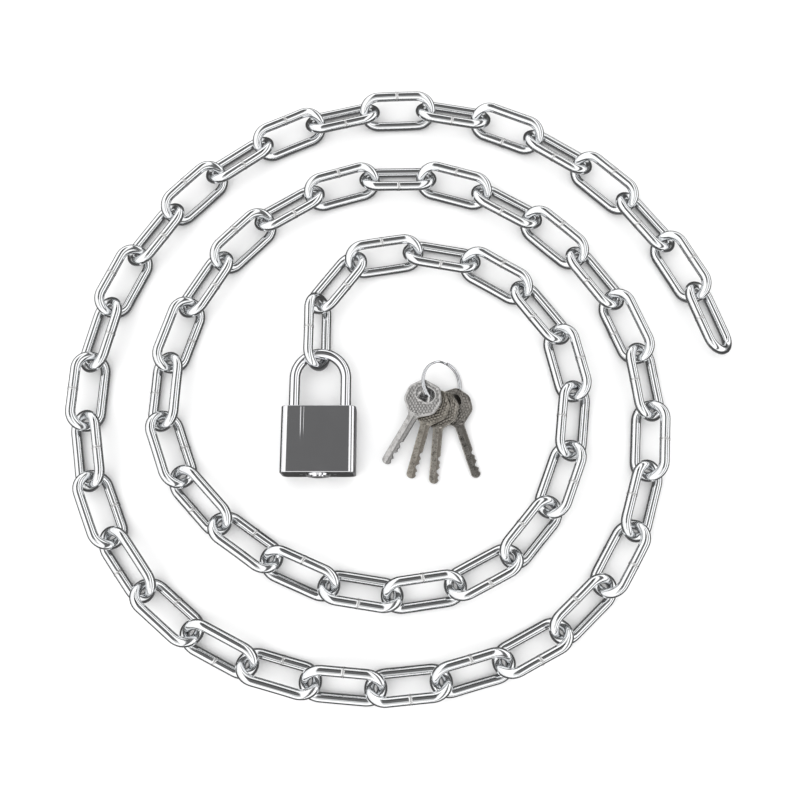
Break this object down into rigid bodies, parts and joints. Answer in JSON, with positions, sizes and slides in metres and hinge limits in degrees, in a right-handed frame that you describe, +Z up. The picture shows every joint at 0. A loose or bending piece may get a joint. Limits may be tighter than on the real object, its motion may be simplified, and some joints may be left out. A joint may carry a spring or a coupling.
{
  "type": "chain lock",
  "caption": "Chromed rectangular padlock with its shackle through a long welded steel chain laid in a loose spiral, with cut keys on a split ring",
  "frame": {"origin": "middle of the padlock's back face, which lies on the floor", "axes": "+Z up off the floor and out of the padlock's front, +Y from the keyway to the shackle, +X to the padlock's right seen from the front"},
  "size_m": [0.3655, 0.3452, 0.02],
  "materials": {
    "chain_steel": "bright zinc plated steel wire",
    "case_chrome": "polished chromed sheet steel",
    "foot_black": "black japanned steel plate",
    "shackle_chrome": "polished chromed steel bar",
    "cast_zinc": "as cast zinc",
    "plug_brass": "turned brass",
    "inner_steel": "plain drawn steel",
    "key_nickel": "worn nickel plated steel",
    "ring_steel": "nickel plated spring wire"
  },
  "bodies": {
    "lock_body": {"lock_case": "case_chrome", "core_block": "cast_zinc", "bottom_plate": "foot_black", "keyway_collar": "shackle_chrome", "plate_rivets": "inner_steel", "shackle_keeper_pin": "inner_steel", "shackle_spring": "inner_steel", "latch_spring": "inner_steel", "driver_pins": "plug_brass", "pin_springs": "inner_steel", "pin_chamber_caps": "cast_zinc"},
    "plug_body": {"plug": "plug_brass", "locking_cam": "cast_zinc", "key_pins": "plug_brass"},
    "latch_body": {"latch_bolt": "inner_steel"},
    "shackle_body": {"shackle": "shackle_chrome"},
    "key_ring_body": {"key_ring": "ring_steel"},
    "key_4_body": {"key_4": "key_nickel"},
    "key_3_body": {"key_3": "key_nickel"},
    "key_2_body": {"key_2": "key_nickel"},
    "key_1_body": {"key_1": "key_nickel"},
    "link_60_body": {"link_60": "chain_steel"},
    "link_58_59_body": {"link_58_59": "chain_steel"},
    "link_56_57_body": {"link_56_57": "chain_steel"},
    "link_54_55_body": {"link_54_55": "chain_steel"},
    "link_52_53_body": {"link_52_53": "chain_steel"},
    "link_50_51_body": {"link_50_51": "chain_steel"},
    "link_48_49_body": {"link_48_49": "chain_steel"},
    "link_46_47_body": {"link_46_47": "chain_steel"},
    "link_44_45_body": {"link_44_45": "chain_steel"},
    "link_42_43_body": {"link_42_43": "chain_steel"},
    "link_40_41_body": {"link_40_41": "chain_steel"},
    "link_38_39_body": {"link_38_39": "chain_steel"},
    "link_36_37_body": {"link_36_37": "chain_steel"},
    "link_34_35_body": {"link_34_35": "chain_steel"},
    "link_32_33_body": {"link_32_33": "chain_steel"},
    "link_30_31_body": {"link_30_31": "chain_steel"},
    "link_28_29_body": {"link_28_29": "chain_steel"},
    "link_26_27_body": {"link_26_27": "chain_steel"},
    "link_24_25_body": {"link_24_25": "chain_steel"},
    "link_22_23_body": {"link_22_23": "chain_steel"},
    "link_20_21_body": {"link_20_21": "chain_steel"},
    "link_18_19_body": {"link_18_19": "chain_steel"},
    "link_16_17_body": {"link_16_17": "chain_steel"},
    "link_14_15_body": {"link_14_15": "chain_steel"},
    "link_12_13_body": {"link_12_13": "chain_steel"},
    "link_10_11_body": {"link_10_11": "chain_steel"},
    "link_08_09_body": {"link_08_09": "chain_steel"},
    "link_06_07_body": {"link_06_07": "chain_steel"},
    "link_04_05_body": {"link_04_05": "chain_steel"},
    "link_02_03_body": {"link_02_03": "chain_steel"},
    "link_01_body": {"link_01": "chain_steel"}
  },
  "joints": [
    {"name": "key_plug_turn", "type": "hinge", "parent": "lock_body", "child": "plug_body", "pos_m": [0, 0, 0.009], "axis": [0, -1, 0], "range_deg": [0, 90]},
    {"name": "latch_slide", "type": "slide", "parent": "lock_body", "child": "latch_body", "axis": [-1, 0, 0], "range_m": [0, 0.0034], "deforming": ["latch_spring"]},
    {"name": "shackle_lift", "type": "slide", "parent": "lock_body", "child": "shackle_body", "axis": [0, 1, 0], "range_m": [0, 0.00861], "deforming": ["shackle_spring"]},
    {"name": "key_ring_lift", "type": "slide", "parent": "lock_body", "child": "key_ring_body", "axis": [0, 0, 1], "range_m": [0, 0.06]},
    {"name": "key_4_round_ring", "type": "hinge", "parent": "key_ring_body", "child": "key_4_body", "pos_m": [0.0665, 0.033, 0.00717], "axis": [-0.5, 0, -0.866], "range_deg": [0, 12]},
    {"name": "key_3_round_ring", "type": "hinge", "parent": "key_4_body", "child": "key_3_body", "pos_m": [0.0665, 0.033, 0.00717], "axis": [-0.5, 0, -0.866], "range_deg": [0, 12]},
    {"name": "key_2_round_ring", "type": "hinge", "parent": "key_3_body", "child": "key_2_body", "pos_m": [0.0665, 0.033, 0.00717], "axis": [-0.5, 0, -0.866], "range_deg": [0, 12]},
    {"name": "key_1_round_ring", "type": "hinge", "parent": "key_2_body", "child": "key_1_body", "pos_m": [0.0665, 0.033, 0.00717], "axis": [-0.5, 0, -0.866], "range_deg": [0, 12]},
    {"name": "link_60_swing", "type": "hinge", "parent": "lock_body", "child": "link_60_body", "pos_m": [0, 0.0491, 0.009], "axis": [1, 0, 0], "range_deg": [-16, 3]},
    {"name": "link_58_59_swing", "type": "hinge", "parent": "link_60_body", "child": "link_58_59_body", "pos_m": [-0.002, 0.07845, 0.00802], "axis": [0.9473, -0.3205, 0], "range_deg": [-20, 20]},
    {"name": "link_56_57_swing", "type": "hinge", "parent": "link_58_59_body", "child": "link_56_57_body", "pos_m": [0.05096, 0.10997, 0.00802], "axis": [0.0103, 0.9999, 0], "range_deg": [-20, 20]},
    {"name": "link_54_55_swing", "type": "hinge", "parent": "link_56_57_body", "child": "link_54_55_body", "pos_m": [0.11208, 0.08703, 0.00802], "axis": [-0.6699, -0.7425, 0], "range_deg": [-20, 20]},
    {"name": "link_52_53_swing", "type": "hinge", "parent": "link_54_55_body", "child": "link_52_53_body", "pos_m": [0.13939, 0.02812, 0.00802], "axis": [0.9988, 0.0483, 0], "range_deg": [-20, 20]},
    {"name": "link_50_51_swing", "type": "hinge", "parent": "link_52_53_body", "child": "link_50_51_body", "pos_m": [0.12318, -0.03577, 0.00802], "axis": [-0.8607, 0.5092, 0], "range_deg": [-20, 20]},
    {"name": "link_48_49_swing", "type": "hinge", "parent": "link_50_51_body", "child": "link_48_49_body", "pos_m": [0.07241, -0.07657, 0.00802], "axis": [0.3076, -0.9515, 0], "range_deg": [-20, 20]},
    {"name": "link_46_47_swing", "type": "hinge", "parent": "link_48_49_body", "child": "link_46_47_body", "pos_m": [0.00676, -0.07617, 0.00802], "axis": [0.2783, 0.9605, 0], "range_deg": [-20, 20]},
    {"name": "link_44_45_swing", "type": "hinge", "parent": "link_46_47_body", "child": "link_44_45_body", "pos_m": [-0.05091, -0.04395, 0.00802], "axis": [-0.6565, -0.7543, 0], "range_deg": [-20, 20]},
    {"name": "link_42_43_swing", "type": "hinge", "parent": "link_44_45_body", "child": "link_42_43_body", "pos_m": [-0.08532, 0.01138, 0.00802], "axis": [0.9868, 0.1619, 0], "range_deg": [-20, 20]},
    {"name": "link_40_41_swing", "type": "hinge", "parent": "link_42_43_body", "child": "link_40_41_body", "pos_m": [-0.07431, 0.0763, 0.00802], "axis": [-0.9148, 0.4039, 0], "range_deg": [-20, 20]},
    {"name": "link_38_39_swing", "type": "hinge", "parent": "link_40_41_body", "child": "link_38_39_body", "pos_m": [-0.03431, 0.12871, 0.00802], "axis": [0.6262, -0.7797, 0], "range_deg": [-20, 20]},
    {"name": "link_36_37_swing", "type": "hinge", "parent": "link_38_39_body", "child": "link_36_37_body", "pos_m": [0.02579, 0.15554, 0.00802], "axis": [-0.1497, 0.9887, 0], "range_deg": [-20, 20]},
    {"name": "link_34_35_swing", "type": "hinge", "parent": "link_36_37_body", "child": "link_34_35_body", "pos_m": [0.09093, 0.14696, 0.00802], "axis": [-0.3924, -0.9198, 0], "range_deg": [-20, 20]},
    {"name": "link_32_33_swing", "type": "hinge", "parent": "link_34_35_body", "child": "link_32_33_body", "pos_m": [0.14413, 0.10782, 0.00802], "axis": [0.7465, 0.6654, 0], "range_deg": [-20, 20]},
    {"name": "link_30_31_swing", "type": "hinge", "parent": "link_32_33_body", "child": "link_30_31_body", "pos_m": [0.17579, 0.05001, 0.00802], "axis": [-0.9684, -0.2493, 0], "range_deg": [-20, 20]},
    {"name": "link_28_29_swing", "type": "hinge", "parent": "link_30_31_body", "child": "link_28_29_body", "pos_m": [0.17673, -0.01597, 0.00802], "axis": [0.9803, -0.1976, 0], "range_deg": [-20, 20]},
    {"name": "link_26_27_swing", "type": "hinge", "parent": "link_28_29_body", "child": "link_26_27_body", "pos_m": [0.15003, -0.07629, 0.00802], "axis": [-0.7814, 0.624, 0], "range_deg": [-20, 20]},
    {"name": "link_24_25_swing", "type": "hinge", "parent": "link_26_27_body", "child": "link_24_25_body", "pos_m": [0.09644, -0.11442, 0.00802], "axis": [0.3685, -0.9296, 0], "range_deg": [-20, 20]},
    {"name": "link_22_23_swing", "type": "hinge", "parent": "link_24_25_body", "child": "link_22_23_body", "pos_m": [0.03142, -0.12658, 0.00802], "axis": [-0.0064, 1, 0], "range_deg": [-20, 20]},
    {"name": "link_20_21_swing", "type": "hinge", "parent": "link_22_23_body", "child": "link_20_21_body", "pos_m": [-0.03365, -0.11491, 0.00802], "axis": [-0.3622, -0.9321, 0], "range_deg": [-20, 20]},
    {"name": "link_18_19_swing", "type": "hinge", "parent": "link_20_21_body", "child": "link_18_19_body", "pos_m": [-0.08869, -0.07854, 0.00802], "axis": [0.7304, 0.6831, 0], "range_deg": [-20, 20]},
    {"name": "link_16_17_swing", "type": "hinge", "parent": "link_18_19_body", "child": "link_16_17_body", "pos_m": [-0.12132, -0.0212, 0.00802], "axis": [-0.9574, -0.2889, 0], "range_deg": [-20, 20]},
    {"name": "link_14_15_swing", "type": "hinge", "parent": "link_16_17_body", "child": "link_14_15_body", "pos_m": [-0.12642, 0.04464, 0.00802], "axis": [0.992, -0.1261, 0], "range_deg": [-20, 20]},
    {"name": "link_12_13_swing", "type": "hinge", "parent": "link_14_15_body", "child": "link_12_13_body", "pos_m": [-0.10563, 0.10738, 0.00802], "axis": [-0.8752, 0.4838, 0], "range_deg": [-20, 20]},
    {"name": "link_10_11_swing", "type": "hinge", "parent": "link_12_13_body", "child": "link_10_11_body", "pos_m": [-0.06385, 0.15866, 0.00802], "axis": [0.6508, -0.7592, 0], "range_deg": [-20, 20]},
    {"name": "link_08_09_swing", "type": "hinge", "parent": "link_10_11_body", "child": "link_08_09_body", "pos_m": [-0.00663, 0.19176, 0.00802], "axis": [-0.3267, 0.9451, 0], "range_deg": [-20, 20]},
    {"name": "link_06_07_swing", "type": "hinge", "parent": "link_08_09_body", "child": "link_06_07_body", "pos_m": [0.05883, 0.20074, 0.00802], "axis": [-0.0688, -0.9976, 0], "range_deg": [-20, 20]},
    {"name": "link_04_05_swing", "type": "hinge", "parent": "link_06_07_body", "child": "link_04_05_body", "pos_m": [0.12231, 0.18253, 0.00802], "axis": [0.4598, 0.888, 0], "range_deg": [-20, 20]},
    {"name": "link_02_03_swing", "type": "hinge", "parent": "link_04_05_body", "child": "link_02_03_body", "pos_m": [0.17458, 0.14199, 0.00802], "axis": [-0.7393, -0.6734, 0], "range_deg": [-20, 20]},
    {"name": "link_01_swing", "type": "hinge", "parent": "link_02_03_body", "child": "link_01_body", "pos_m": [0.21049, 0.0864, 0.00802], "axis": [0.9156, 0.4021, 0], "range_deg": [-20, 20]}
  ],
  "couplings": [
    {"joint": "latch_slide", "follows": "key_plug_turn", "m_per_rad": 0.0021608},
    {"joint": "shackle_lift", "follows": "key_plug_turn", "m_per_rad": 0.0054749}
  ]
}
